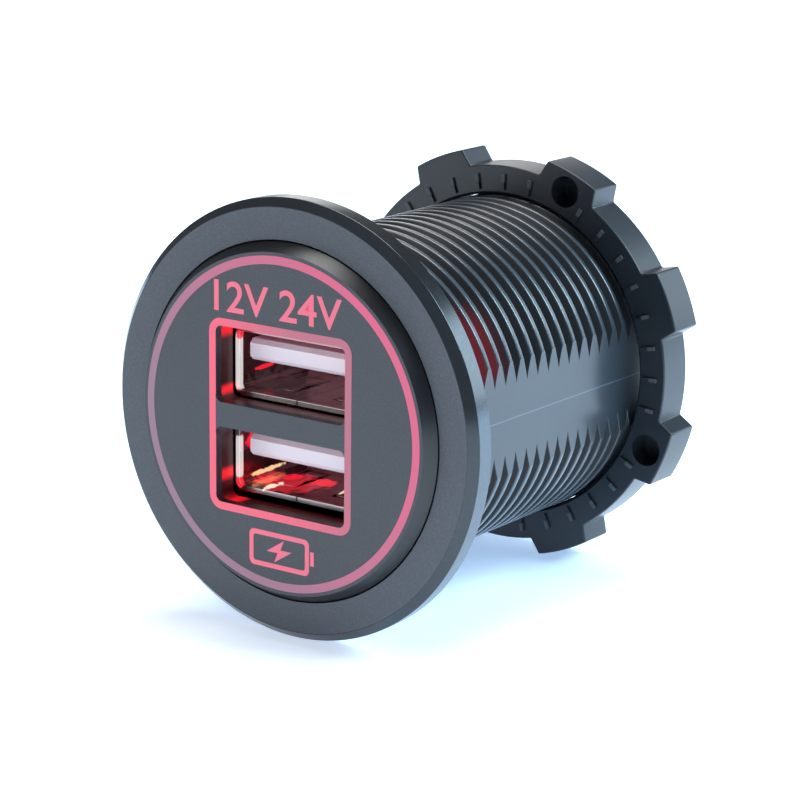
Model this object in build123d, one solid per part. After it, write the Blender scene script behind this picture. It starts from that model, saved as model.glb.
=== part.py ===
from build123d import *
import math
import os

# Frame: X to the right and Z up as seen from the front, Y is depth towards the rear.
# The origin is on the axis, in the plane where the bezel seats on a panel.
# All sizes are millimetres.

# Bezel
bezel_width = 3.5
bezel_thickness = 2.3
bezel_chamfer = 0.7
bezel_lip = 0.8

# Face plate
face_slope_run = 0.7
face_proud = 1.1
face_skin = 0.8
face_rim_wall = 0.8
face_gap = 0.12

# Windows round the sockets, crossbar and the lit lines
window_side_margin = 0.05
window_end_margin = 0.45
window_bar_margin = 0.1
bar_half_height = 1.05
window_corner = 0.6
frame_line = 0.65
ring_margin = 1.0
ring_line = 0.7
inlay_depth = 0.15

# Light guide
guide_thickness = 1.6
guide_inset = 0.06

# Clearances
slip = 0.05
nut_clearance = 0.08
gap_behind_guide = 0.1

# Barrel, threaded from its neck to its rear end
barrel_length = 34.6
barrel_wall = 2.0
board_seat = 0.8
socket_clearance = 1.943
lamp_clearance = 0.245
neck_length = 1.4
flat_depth = 0.84
collar_step = 0.6
collar_thickness = 1.0

# Thread: parallel ridges with flat facets stand for the real fine helix
thread_depth = 0.53
thread_crest = 0.62
thread_ridges = 14
thread_sides = 36

# Sockets
shell_width = 13.2
shell_height = 5.9
shell_wall = 0.45
shell_corner = 0.9
shell_length = 14.1
shell_leg_width = 1.5
shell_leg_spacing = 2.6
leg_tail = 0.6

# Spring fingers of a socket shell
finger_width = 2.0
finger_slot = 0.3
finger_start = 2.0
finger_length = 5.2
finger_bend = 3.2
finger_rise = 0.42
finger_tip_rise = 0.14
finger_thickness = 0.25
finger_spacing = 6.4

# Tongue and contacts of a socket
tongue_setback = 0.7
tongue_side_gap = 1.05
tongue_thickness = 1.84
tongue_length = 8.5
tongue_chamfer = 0.38
tongue_corner = 0.35
contact_width = 1.0
contact_thickness = 0.22
contact_start = 0.9
contact_inner = 1.0
contact_outer = 3.5

# Boards
board_thickness = 1.2
board_space = 11.0
pin_size = 0.64
pin_pitch = 2.54
pin_count = 4
pin_row_gap = 2.35
pin_tail = 0.5
header_height = 2.5
header_depth = 2.4

# Board components
led_width = 2.8
led_height = 3.5
led_depth = 1.9
led_gap = 1.3
led_offset_z = 2.05
coil_side = 6.6
coil_corner = 0.9
coil_depth = 5.0
coil_gap = 0.8
capacitor_radius = 3.1
capacitor_depth = 7.7
capacitor_gap = 2.2
chip_width = 5.0
chip_height = 4.0
chip_depth = 1.5
chip_gap = 0.45
chip_lead_width = 0.42
chip_lead_reach = 1.0
chip_lead_thickness = 0.25
chip_lead_pitch = 1.27
chip_lead_count = 4
resistor_width = 0.8
resistor_height = 1.6
resistor_depth = 0.45
resistor_gap = 2.9
resistor_spacing_z = 2.2
resistor_count = 3

# Blade terminals
blade_width = 6.3
blade_thickness = 0.8
blade_offset = 5.0
blade_reach = 8.0
blade_tip_chamfer = 1.2
blade_hole_radius = 0.8
blade_hole_from_tip = 4.0
tang_width = 3.0

# Rear cap
cap_overlap = 0.8
cap_thickness = 1.0
cap_chamfer = 0.4
cap_skirt_wall = 1.15
cap_boss_margin = 1.1
cap_boss_height = 1.4

# Ring nut
nut_from_end = 5.8
nut_thickness = 3.75
nut_wall = 2.62
lug_count = 8
lug_reach = 1.5
lug_root_half_width = 3.0
lug_tip_half_width = 2.68
lug_hole_radius = 1.4
lug_hole_inset = 0.35
lug_hole_depth = 2.2
nut_bore_chamfer = 0.3

# Depths that follow from the sizes above
matte_face = -bezel_thickness
face_front = matte_face - face_proud
guide_front = face_front + face_skin
guide_back = guide_front + guide_thickness
collar_back = -bezel_lip
collar_front = collar_back - collar_thickness
shell_front = guide_back + gap_behind_guide
tongue_front = shell_front + tongue_setback
board_front = shell_front + shell_length
board_back = board_front + board_thickness
power_front = board_back + board_space
power_back = power_front + board_thickness
cap_back = barrel_length + cap_thickness
blade_tip = cap_back + blade_reach
nut_front = barrel_length - nut_from_end
ridge_spacing = (barrel_length - neck_length) / thread_ridges

# Places round the sockets and on the boards that follow
port_offset = bar_half_height + window_bar_margin + shell_height / 2
socket_top = port_offset + shell_height / 2
window_half_width = shell_width / 2 + window_side_margin
window_half_height = socket_top + window_end_margin
tongue_width = shell_width - 2 * tongue_side_gap
contact_columns = (-contact_outer, -contact_inner, contact_inner, contact_outer)
pin_row_height = socket_top + pin_row_gap
led_offset_x = (shell_width + led_width) / 2 + led_gap
coil_offset = capacitor_radius + coil_gap + coil_side / 2
capacitor_offset = capacitor_radius + capacitor_gap / 2
chip_offset = (blade_width + chip_width) / 2 + chip_gap
resistor_offset_x = blade_offset + (blade_thickness + resistor_width) / 2 + resistor_gap

# Radii that follow, from the sockets and the lamps beside them outwards
socket_reach = math.hypot(shell_width / 2, socket_top)
lamp_reach = math.hypot(led_offset_x + led_width / 2, led_offset_z + led_height / 2)
bore_radius_front = max(socket_reach + socket_clearance, lamp_reach + lamp_clearance)
bore_radius_rear = bore_radius_front + board_seat
crest_radius = bore_radius_rear + barrel_wall
root_radius = crest_radius - thread_depth
flat_distance = crest_radius - flat_depth
face_radius = crest_radius + collar_step
bezel_radius = face_radius + bezel_width
ring_radius = face_radius - ring_margin
guide_recess_radius = face_radius - face_rim_wall
guide_radius = guide_recess_radius - slip
board_radius = bore_radius_rear - slip
cap_radius = bore_radius_rear + cap_overlap
nut_bore = crest_radius + nut_clearance
nut_radius = nut_bore + nut_wall
lug_radius = nut_radius + lug_reach


def at_depth(depth):
    """Sketch plane seen from the front: its x is X and its y is Z."""
    return Plane.XZ.offset(-depth)


def slab(outline, start, end):
    """Solid from an outline seen from the front, between two depths."""
    return extrude(at_depth(start) * outline, amount=start - end)


def turned(points):
    """Solid of revolution about the axis, from (radius, depth) points."""
    return revolve(make_face(Polyline(*points, close=True)), axis=Axis.Y)


def tube(outer, inner, start, end):
    """Plain ring between two radii and two depths."""
    return turned([(inner, start), (outer, start), (outer, end), (inner, end)])


def rounded(width, height, corner):
    """Rounded rectangle outline."""
    return RectangleRounded(width, height, corner)


def port_centres():
    """Height of each socket's centre, upper first."""
    return {"upper": port_offset, "lower": -port_offset}


# Outlines that several pieces share


def window_outlines(grow):
    """The two openings in the face, each larger by grow on every side."""
    opening_height = window_half_height - bar_half_height
    centre = (window_half_height + bar_half_height) / 2
    one = rounded(2 * (window_half_width + grow), opening_height + 2 * grow, window_corner + grow)
    return Pos(0, centre) * one + Pos(0, -centre) * one


def frame_outline():
    """Lit line round the two windows."""
    outer = rounded(
        2 * (window_half_width + frame_line),
        2 * (window_half_height + frame_line),
        window_corner + frame_line,
    )
    return outer - rounded(2 * window_half_width, 2 * window_half_height, window_corner)


def ring_outline():
    """Lit ring near the edge of the face."""
    return Circle(ring_radius) - Circle(ring_radius - ring_line)


# Bezel and face


def trim_ring():
    """Turned metal bezel: polished chamfered rim, counterbore and inner lip."""
    counterbore = face_radius + face_gap
    neck_bore = crest_radius + slip
    return turned(
        [
            (counterbore, matte_face),
            (bezel_radius - bezel_chamfer, matte_face),
            (bezel_radius, matte_face + bezel_chamfer),
            (bezel_radius, 0),
            (neck_bore, 0),
            (neck_bore, collar_back),
            (counterbore, collar_back),
        ]
    )


def face_plate():
    """Raised face with sloped edge, two windows and grooves for the lit lines."""
    front_radius = face_radius - face_slope_run
    plate = turned(
        [
            (0, face_front),
            (front_radius, face_front),
            (face_radius, matte_face),
            (face_radius, collar_front),
            (guide_recess_radius, collar_front),
            (guide_recess_radius, guide_front),
            (0, guide_front),
        ]
    )
    plate -= slab(window_outlines(0), face_front, guide_front)
    groove_floor = face_front + inlay_depth
    plate -= slab(ring_outline(), face_front, groove_floor)
    return plate - slab(frame_outline(), face_front, groove_floor)


def light_ring():
    """Translucent ring inlay, flush with the face."""
    return slab(ring_outline(), face_front, face_front + inlay_depth)


def light_frame():
    """Translucent frame inlay round the windows, flush with the face."""
    return slab(frame_outline(), face_front, face_front + inlay_depth)


def light_guide():
    """Clear disc that carries light to the lit lines and lines the windows."""
    outline = Circle(guide_radius) - window_outlines(guide_inset)
    return slab(outline, guide_front, guide_back)


# Barrel


def thread():
    """Threaded stretch with a flat on each side, still without its bore."""
    flank = (ridge_spacing - thread_crest) / 2
    sections = []
    for ridge in range(thread_ridges):
        start = neck_length + ridge * ridge_spacing
        sections.append((start, root_radius))
        sections.append((start + flank, crest_radius))
        sections.append((start + flank + thread_crest, crest_radius))
    sections.append((barrel_length, root_radius))
    outlines = [
        at_depth(depth) * RegularPolygon(radius, thread_sides) for depth, radius in sections
    ]
    between_flats = Rectangle(2 * flat_distance, 2 * crest_radius)
    return loft(outlines, ruled=True) & slab(between_flats, neck_length, barrel_length)


def barrel():
    """Housing: collar, neck, thread with two flats, stepped bore and board seat."""
    front = turned(
        [
            (0, guide_back),
            (guide_recess_radius, guide_back),
            (guide_recess_radius, collar_front),
            (face_radius, collar_front),
            (face_radius, collar_back),
            (crest_radius, collar_back),
            (crest_radius, neck_length),
            (0, neck_length),
        ]
    )
    bore = turned(
        [
            (0, guide_back),
            (bore_radius_front, guide_back),
            (bore_radius_front, board_front),
            (bore_radius_rear, board_front),
            (bore_radius_rear, barrel_length),
            (0, barrel_length),
        ]
    )
    return front + thread() - bore


# Sockets


def shell_outline(inset):
    """Outline of a socket shell, moved inwards by inset."""
    return rounded(
        shell_width - 2 * inset, shell_height - 2 * inset, shell_corner - inset
    )


def finger(side):
    """Bent spring finger in the top (side 1) or bottom (side -1) wall of a shell."""
    root = shell_front + finger_start + finger_length
    outer = shell_height / 2 - (shell_wall - finger_thickness) / 2
    inner = outer - finger_thickness
    crest = root - finger_bend
    tip = root - finger_length + finger_slot
    side_view = make_face(
        Polyline(
            (root, outer),
            (crest, outer - finger_rise),
            (tip, outer - finger_tip_rise),
            (tip, inner - finger_tip_rise),
            (crest, inner - finger_rise),
            (root, inner),
            close=True,
        )
    )
    strip = extrude(Plane.YZ * side_view, amount=finger_width / 2, both=True)
    return strip if side > 0 else mirror(strip, about=Plane.XY)


def port_shell(centre):
    """Folded sheet shell with four spring fingers and four solder legs."""
    shell = slab(shell_outline(0), shell_front, board_front)
    shell -= slab(shell_outline(shell_wall), shell_front, board_front)
    slot_width = finger_width + 2 * finger_slot
    slot_middle = shell_front + finger_start + finger_length / 2
    slot = Box(slot_width, finger_length, 2 * shell_height)
    for column in (-finger_spacing / 2, finger_spacing / 2):
        shell -= Pos(column, slot_middle, 0) * slot
        for side in (1, -1):
            shell += Pos(column, 0, 0) * finger(side)
    leg_end = board_back + leg_tail
    for side in (1, -1):
        for level in (-shell_leg_spacing / 2, shell_leg_spacing / 2):
            middle = side * (shell_width - shell_wall) / 2
            leg = Pos(middle, level) * Rectangle(shell_wall, shell_leg_width)
            shell += slab(leg, board_front, leg_end)
    return Pos(0, 0, centre) * shell


def port_tongue(centre):
    """White insulator: base block in the shell and the tongue with its contact grooves."""
    base_front = tongue_front + tongue_length
    base = slab(shell_outline(shell_wall + slip), base_front, board_front)
    side_view = make_face(
        Polyline(
            (base_front, 0),
            (tongue_front + tongue_corner, 0),
            (tongue_front, tongue_corner),
            (tongue_front, tongue_thickness - tongue_chamfer),
            (tongue_front + tongue_chamfer, tongue_thickness),
            (base_front, tongue_thickness),
            close=True,
        )
    )
    blade = extrude(Plane.YZ * side_view, amount=tongue_width / 2, both=True)
    tongue = base + blade
    for column in contact_columns:
        tongue -= contact_space(column)
    return Pos(0, 0, centre) * tongue


def contact_depths():
    """Front and rear ends of a contact strip."""
    return tongue_front + contact_start, board_back + leg_tail


def contact_space(column):
    """Groove under the tongue and slot through the base for one contact."""
    start = contact_depths()[0] - slip
    width = contact_width + 2 * slip
    groove = Pos(column, contact_thickness / 2) * Rectangle(
        width, contact_thickness + 2 * slip
    )
    return slab(groove, start, board_front)


def port_contacts(centre):
    """Four spring contacts, each a strip under the tongue with a tail in the board."""
    start, end = contact_depths()
    strip = Rectangle(contact_width, contact_thickness)
    parts = [
        slab(Pos(column, centre + contact_thickness / 2) * strip, start, end)
        for column in contact_columns
    ]
    return Compound(parts)


# Boards and what they carry


def header_columns():
    """X of each header pin in a row."""
    first = -pin_pitch * (pin_count - 1) / 2
    return [first + pin_pitch * step for step in range(pin_count)]


def pin_places():
    """Front-view centre of every header pin."""
    return [(x, z) for z in (-pin_row_height, pin_row_height) for x in header_columns()]


def pin_holes():
    """Square holes for the header pins."""
    side = pin_size + 2 * slip
    return [Pos(*place) * Rectangle(side, side) for place in pin_places()]


def port_board():
    """Round board that the two sockets and the lamps are soldered to."""
    outline = Circle(board_radius)
    for hole in pin_holes():
        outline -= hole
    grow = 2 * slip
    for centre in port_centres().values():
        for column in contact_columns:
            hole = Rectangle(contact_width + grow, contact_thickness + grow)
            outline -= Pos(column, centre + contact_thickness / 2) * hole
        for side in (1, -1):
            for level in (-shell_leg_spacing / 2, shell_leg_spacing / 2):
                middle = side * (shell_width - shell_wall) / 2
                hole = Rectangle(shell_wall + grow, shell_leg_width + grow)
                outline -= Pos(middle, centre + level) * hole
    return slab(outline, board_front, board_back)


def leds():
    """Four lamp packages on the front of the port board."""
    lamp = slab(Rectangle(led_width, led_height), board_front - led_depth, board_front)
    places = [(x, z) for x in (-led_offset_x, led_offset_x) for z in (-led_offset_z, led_offset_z)]
    return Compound([Pos(x, 0, z) * lamp for x, z in places])


def header_pins():
    """Square pins that join the two boards."""
    pin = Rectangle(pin_size, pin_size)
    start = board_front - pin_tail
    end = power_back + pin_tail
    return Compound([slab(Pos(*place) * pin, start, end) for place in pin_places()])


def header_blocks():
    """Two plastic strips that hold the header pins on the port board."""
    length = pin_pitch * pin_count
    end = board_back + header_height
    blocks = []
    for level in (-pin_row_height, pin_row_height):
        outline = Pos(0, level) * Rectangle(length, header_depth)
        for hole in pin_holes():
            outline -= hole
        blocks.append(slab(outline, board_back, end))
    return Compound(blocks)


def blade_places():
    """X of each terminal blade, by name."""
    return {"positive": blade_offset, "negative": -blade_offset}


def power_board():
    """Round converter board with pin holes and slots for the terminal tangs."""
    outline = Circle(board_radius)
    for hole in pin_holes():
        outline -= hole
    for x in blade_places().values():
        outline -= Pos(x, 0) * Rectangle(blade_thickness + 2 * slip, tang_width + 2 * slip)
    return slab(outline, power_front, power_back)


def inductors():
    """Two shielded coils with cropped corners on the front of the power board."""
    outline = chamfer(Rectangle(coil_side, coil_side).vertices(), length=coil_corner)
    coil = slab(outline, power_front - coil_depth, power_front)
    return Compound([Pos(x, 0, 0) * coil for x in (-coil_offset, coil_offset)])


def capacitors():
    """Two can capacitors on the front of the power board."""
    can = slab(Circle(capacitor_radius), power_front - capacitor_depth, power_front)
    return Compound([Pos(0, 0, z) * can for z in (-capacitor_offset, capacitor_offset)])


def controller_chip():
    """One chip body with a row of flat leads on each side, on the board's rear face."""
    chip = slab(Rectangle(chip_height, chip_width), power_back, power_back + chip_depth)
    first = -chip_lead_pitch * (chip_lead_count - 1) / 2
    for side in (1, -1):
        for step in range(chip_lead_count):
            x = side * (chip_height + chip_lead_reach) / 2
            z = first + step * chip_lead_pitch
            lead = Pos(x, z) * Rectangle(chip_lead_reach, chip_lead_width)
            chip += slab(lead, power_back, power_back + chip_lead_thickness)
    return chip


def controller_chips():
    """The two converter chips, above and below the terminals."""
    return Compound([Pos(0, 0, z) * controller_chip() for z in (-chip_offset, chip_offset)])


def chip_resistors():
    """Small resistors in two columns beside the terminals."""
    one = slab(
        Rectangle(resistor_width, resistor_height), power_back, power_back + resistor_depth
    )
    first = -resistor_spacing_z * (resistor_count - 1) / 2
    return Compound(
        [
            Pos(x, 0, first + resistor_spacing_z * step) * one
            for x in (-resistor_offset_x, resistor_offset_x)
            for step in range(resistor_count)
        ]
    )


def blade_terminal(x):
    """Blade with a soldered tang, cropped tip corners and a latch hole."""
    half = blade_width / 2
    crop = blade_tip_chamfer
    side_view = make_face(
        Polyline(
            (power_front, -tang_width / 2),
            (power_back, -tang_width / 2),
            (power_back, -half),
            (blade_tip - crop, -half),
            (blade_tip, -half + crop),
            (blade_tip, half - crop),
            (blade_tip - crop, half),
            (power_back, half),
            (power_back, tang_width / 2),
            (power_front, tang_width / 2),
            close=True,
        )
    )
    side_view -= Pos(blade_tip - blade_hole_from_tip, 0) * Circle(blade_hole_radius)
    return Pos(x, 0, 0) * extrude(Plane.YZ * side_view, amount=blade_thickness / 2, both=True)


def rear_cap():
    """Cap that closes the barrel and holds the power board, with a boss round each blade."""
    skirt_inner = board_radius - cap_skirt_wall
    cap = turned(
        [
            (0, barrel_length),
            (skirt_inner, barrel_length),
            (skirt_inner, power_back),
            (board_radius, power_back),
            (board_radius, barrel_length),
            (cap_radius, barrel_length),
            (cap_radius, cap_back - cap_chamfer),
            (cap_radius - cap_chamfer, cap_back),
            (0, cap_back),
        ]
    )
    boss = Rectangle(blade_thickness + 2 * cap_boss_margin, blade_width + 2 * cap_boss_margin)
    slot = Rectangle(blade_thickness + 2 * slip, blade_width + 2 * slip)
    boss_end = cap_back + cap_boss_height
    for x in blade_places().values():
        cap += slab(Pos(x, 0) * boss, cap_back, boss_end)
    for x in blade_places().values():
        cap -= slab(Pos(x, 0) * slot, barrel_length, boss_end)
    return cap


# Ring nut


def lug_angles():
    """Directions of the lugs: two rest side by side at the bottom."""
    step = 360 / lug_count
    return [step / 2 + step * place for place in range(lug_count)]


def ring_nut():
    """Castellated nut: ring, eight lugs, and a blind hole in every other lug."""
    back = nut_front + nut_thickness
    inside = nut_bore + (nut_radius - nut_bore) / 2
    beyond = lug_radius + nut_thickness
    taper = (lug_root_half_width - lug_tip_half_width) / (lug_radius - nut_radius)
    inner_half = lug_root_half_width + taper * (nut_radius - inside)
    outer_half = lug_tip_half_width - taper * (beyond - lug_radius)
    lug = make_face(
        Polyline(
            (inside, -inner_half),
            (beyond, -outer_half),
            (beyond, outer_half),
            (inside, inner_half),
            close=True,
        )
    ) & Circle(lug_radius)
    outline = Circle(nut_radius)
    for angle in lug_angles():
        outline += Rot(0, 0, angle) * lug
    nut = slab(outline, nut_front, back)
    chamfered = nut_bore + nut_bore_chamfer
    nut -= turned(
        [
            (0, nut_front),
            (chamfered, nut_front),
            (nut_bore, nut_front + nut_bore_chamfer),
            (nut_bore, back),
            (0, back),
        ]
    )
    for angle in lug_angles()[1::2]:
        hole = Rot(0, 0, angle) * Pos(nut_radius - lug_hole_inset, 0) * Circle(lug_hole_radius)
        nut -= slab(hole, nut_front, nut_front + lug_hole_depth)
    return nut


def write(name, shape):
    """Save one node."""
    export_step(shape, os.path.join("parts", name + ".step"))


os.makedirs("parts", exist_ok=True)

write("trim_ring", trim_ring())
write("face_plate", face_plate())
write("light_ring", light_ring())
write("light_frame", light_frame())
write("light_guide", light_guide())
write("barrel", barrel())
for level, height in port_centres().items():
    write(level + "_port_shell", port_shell(height))
    write(level + "_port_tongue", port_tongue(height))
    write(level + "_port_contacts", port_contacts(height))
write("port_board", port_board())
write("leds", leds())
write("header_pins", header_pins())
write("header_blocks", header_blocks())
write("power_board", power_board())
write("inductors", inductors())
write("capacitors", capacitors())
write("controller_chips", controller_chips())
write("chip_resistors", chip_resistors())
for pole, side in blade_places().items():
    write(pole + "_terminal", blade_terminal(side))
write("rear_cap", rear_cap())
write("ring_nut", ring_nut())
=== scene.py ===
import logging
import math
from dataclasses import dataclass
from enum import Enum
from typing import Any, Callable, Iterable, Sequence

import bmesh
import bpy
from bmesh import ops
from mathutils import Matrix, Vector


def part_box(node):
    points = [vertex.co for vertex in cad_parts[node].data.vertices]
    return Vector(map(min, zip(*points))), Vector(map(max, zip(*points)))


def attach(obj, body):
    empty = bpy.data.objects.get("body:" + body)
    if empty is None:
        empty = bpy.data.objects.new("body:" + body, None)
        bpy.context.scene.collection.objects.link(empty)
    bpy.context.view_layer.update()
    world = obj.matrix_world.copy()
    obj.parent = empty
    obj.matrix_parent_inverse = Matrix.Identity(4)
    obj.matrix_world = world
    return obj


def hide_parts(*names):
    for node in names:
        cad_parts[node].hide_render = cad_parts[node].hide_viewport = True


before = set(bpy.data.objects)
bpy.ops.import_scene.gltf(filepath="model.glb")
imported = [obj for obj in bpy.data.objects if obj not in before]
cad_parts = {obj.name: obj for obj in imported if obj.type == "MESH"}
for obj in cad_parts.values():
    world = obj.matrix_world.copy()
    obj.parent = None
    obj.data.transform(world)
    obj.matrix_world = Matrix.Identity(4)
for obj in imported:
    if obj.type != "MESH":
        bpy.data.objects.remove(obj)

MM = 0.001  # metres in a millimetre
ROUND = 192  # facets in a full turn
MERGE = 1e-4  # points nearer than this are one
GRAZE = 1e-5  # points nearer to a cutting plane than this lie in it
PLANAR = math.radians(0.5)  # facets that meet at less than this are joined
SHARP = math.radians(28)  # edges that bend more than this are rounded
PAST = 1.0  # how far a cutter reaches past what it cuts
BAND = 0.2  # how near to its radius an edge is looked for
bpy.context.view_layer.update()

Point = tuple[float, float]
Place = tuple[float, float, float]
Colour = tuple[float, float, float]
Material = bpy.types.Material
Edges = list[bmesh.types.BMEdge]
Faces = list[bmesh.types.BMFace]
DARK: Colour = (0.0, 0.0, 0.0)

log = logging.getLogger("socket")


class Body(Enum):
    """The two rigid bodies of the part."""

    SOCKET = "socket"
    NUT = "nut"


def node_box(node: str) -> tuple[Vector, Vector]:
    """Gives a node's lowest and highest corners in millimetres."""
    low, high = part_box(node)
    return low / MM, high / MM


def tint(colour: Colour, gain: float) -> Colour:
    """Makes a colour lighter or darker by a factor."""
    return tuple(min(1.0, part * gain) for part in colour)


def off_axis(point: Vector) -> float:
    """Gives a point's distance from the part's axis."""
    return math.hypot(point.x, point.z)


def put(name: str, data: bpy.types.ID) -> bpy.types.Object:
    """Puts a new object with its data into the scene.

    Args:
        name: Name of the object.
        data: Its mesh, curve, light or camera.

    Returns:
        The object.
    """
    thing = bpy.data.objects.new(name, data)
    bpy.context.scene.collection.objects.link(thing)
    return thing


def only(items: Iterable[Any], kind: type) -> list[Any]:
    """Picks the mesh elements of one kind."""
    return [item for item in items if isinstance(item, kind)]


def operator(operation: str, flipped: bool = False) -> Callable[["Value", Any], "Value"]:
    """Makes a method that adds a Math node for two terms.

    Args:
        operation: The node's operation.
        flipped: Whether the value is the second term.

    Returns:
        The method.
    """

    def apply(value: "Value", other: Any) -> "Value":
        """Adds the node for the value and the other term."""
        inputs = {0: other, 1: value} if flipped else {0: value, 1: other}
        return value.recipe.add("ShaderNodeMath", {"operation": operation}, inputs)

    return apply


class Value:
    """A shader socket that Python's arithmetic works on."""

    __add__ = operator("ADD")
    __radd__ = operator("ADD", flipped=True)
    __sub__ = operator("SUBTRACT")
    __rsub__ = operator("SUBTRACT", flipped=True)
    __mul__ = operator("MULTIPLY")
    __truediv__ = operator("DIVIDE")
    __pow__ = operator("POWER")
    most = operator("MAXIMUM")

    def __init__(self, recipe: "Recipe", socket: bpy.types.NodeSocket) -> None:
        """Keeps the socket and the recipe that owns it."""
        self.recipe = recipe
        self.socket = socket

    def root(self) -> "Value":
        """Takes the square root."""
        return self.recipe.add("ShaderNodeMath", {"operation": "SQRT"}, {0: self})

    def fade(self, low: float, high: float) -> "Value":
        """Runs smoothly from 0 at low to 1 at high, where low may be above high."""
        inputs = {"Value": self, "From Min": low, "From Max": high}
        return self.recipe.add("ShaderNodeMapRange", {"interpolation_type": "SMOOTHSTEP"}, inputs)


class Recipe:
    """A material in the making."""

    def __init__(self, name: str) -> None:
        """Starts an empty material of that name, with an output."""
        self.material = bpy.data.materials.new(name)
        self.material.use_nodes = True
        self.tree = self.material.node_tree
        self.tree.nodes.clear()
        self.output = self.tree.nodes.new("ShaderNodeOutputMaterial")

    def add(self, kind: str, settings: dict[str, Any], inputs: dict[Any, Any],
            out: Any = 0) -> Value:
        """Adds a node.

        Args:
            kind: Type of the node.
            settings: Its properties, set before its sockets.
            inputs: Values or links of its sockets, by name or place.
            out: Name or place of the socket that is returned.

        Returns:
            The node's output.
        """
        node = self.tree.nodes.new(kind)
        for key, value in settings.items():
            setattr(node, key, value)
        for key, value in inputs.items():
            self.feed(node.inputs[key], value)
        return Value(self, node.outputs[out])

    def feed(self, socket: bpy.types.NodeSocket, value: Any) -> None:
        """Links a value to a socket, or sets the socket to a constant.

        Args:
            socket: The socket.
            value: The value, number or colour.
        """
        if isinstance(value, Value):
            self.tree.links.new(value.socket, socket)
        elif isinstance(value, tuple) and socket.type == "RGBA":
            socket.default_value = (*value, 1.0)
        else:
            socket.default_value = value

    def place(self) -> Value:
        """Gives the point on the surface, in the object's frame."""
        return self.add("ShaderNodeTexCoord", {}, {}, "Object")

    def along(self, axis: str) -> Value:
        """Gives the point's coordinate on axis X, Y or Z in millimetres."""
        return self.add("ShaderNodeSeparateXYZ", {}, {0: self.place()}, axis) / MM

    def noise(self, size: float, detail: float = 2.0, stretch: Place = (1.0, 1.0, 1.0)) -> Value:
        """Adds cloud noise.

        Args:
            size: Size of a grain in millimetres.
            detail: How many finer layers lie on it.
            stretch: How many times longer a grain is along each axis.

        Returns:
            The noise, from about 0 to 1.
        """
        scale = tuple(1.0 / (size * MM * factor) for factor in stretch)
        where = self.add("ShaderNodeMapping", {}, {"Vector": self.place(), "Scale": scale})
        inputs = {"Vector": where, "Scale": 1.0, "Detail": detail}
        return self.add("ShaderNodeTexNoise", {}, inputs, "Fac")

    def blend(self, share: Any, first: Colour | Value, second: Colour | Value) -> Value:
        """Mixes two colours, the first at a share of 0 and the second at 1."""
        # The Mix node's colour sockets are told apart by their places.
        return self.add("ShaderNodeMix", {"data_type": "RGBA"}, {0: share, 6: first, 7: second}, 2)

    def bump(self, height: Value, depth: float) -> Value:
        """Turns a height from 0 to 1 into a normal, for relief of a depth in millimetres."""
        inputs = {"Strength": 1.0, "Distance": depth * MM, "Height": height}
        return self.add("ShaderNodeBump", {}, inputs)

    def surface(self, **sockets: Any) -> Material:
        """Ends the recipe with a surface shader.

        Args:
            sockets: Sockets of the shader, with spaces as underscores.

        Returns:
            The finished material.
        """
        if "Emission_Color" in sockets:
            sockets.setdefault("Emission_Strength", 1.0)
        inputs = {key.replace("_", " "): value for key, value in sockets.items()}
        shader = self.add("ShaderNodeBsdfPrincipled", {}, inputs)
        self.tree.links.new(shader.socket, self.output.inputs["Surface"])
        return self.material


@dataclass(frozen=True)
class Moulded:
    """Moulded plastic with a fine grain from its mould."""

    name: str
    colour: Colour
    roughness: float
    grain: float = 0.12
    depth: float = 0.004
    mottle: float = 0.25
    coat: float = 0.0
    ior: float = 1.45
    glow: Colour = DARK
    patch: float = 40.0

    def material(self) -> Material:
        """Builds the material.

        Returns:
            The material.
        """
        recipe = Recipe(self.name)
        fine = recipe.noise(self.grain, 3.0)
        broad = recipe.noise(self.grain * self.patch)
        return recipe.surface(
            Base_Color=recipe.blend(broad, self.colour, tint(self.colour, 1 + self.mottle)),
            Roughness=self.roughness + (fine - 0.5) * 0.12 + (broad - 0.5) * 0.1,
            IOR=self.ior,
            Coat_Weight=self.coat,
            Coat_Roughness=0.3,
            Emission_Color=self.glow,
            Normal=recipe.bump(fine, self.depth),
        )


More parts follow.
